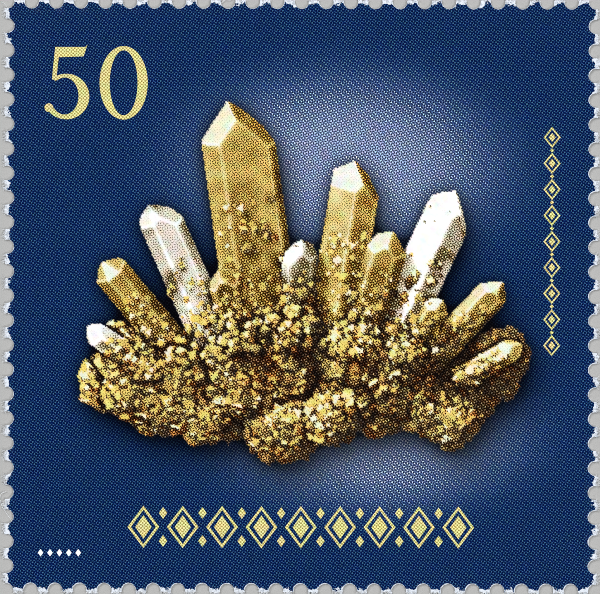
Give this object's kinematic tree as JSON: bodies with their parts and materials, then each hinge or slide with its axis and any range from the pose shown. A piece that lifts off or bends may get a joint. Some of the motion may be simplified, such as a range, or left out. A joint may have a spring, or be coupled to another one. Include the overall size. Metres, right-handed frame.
{
  "type": "postage stamp",
  "caption": "Flat square postage stamp with perforated torn edges, a printed face and a gummed back for sticking to mail.",
  "frame": {"origin": "middle of the gummed back, the face the stamp rests on", "axes": "+Z out of the printed face, +Y towards the top of the print, +X towards its right edge"},
  "size_m": [0.0366, 0.0366, 0.0001],
  "materials": {
    "printed_paper": "coated white paper with a deep blue halftone print on the face and clear gum on the back"
  },
  "bodies": {
    "root": {"stamp": "printed_paper"}
  },
  "joints": []
}
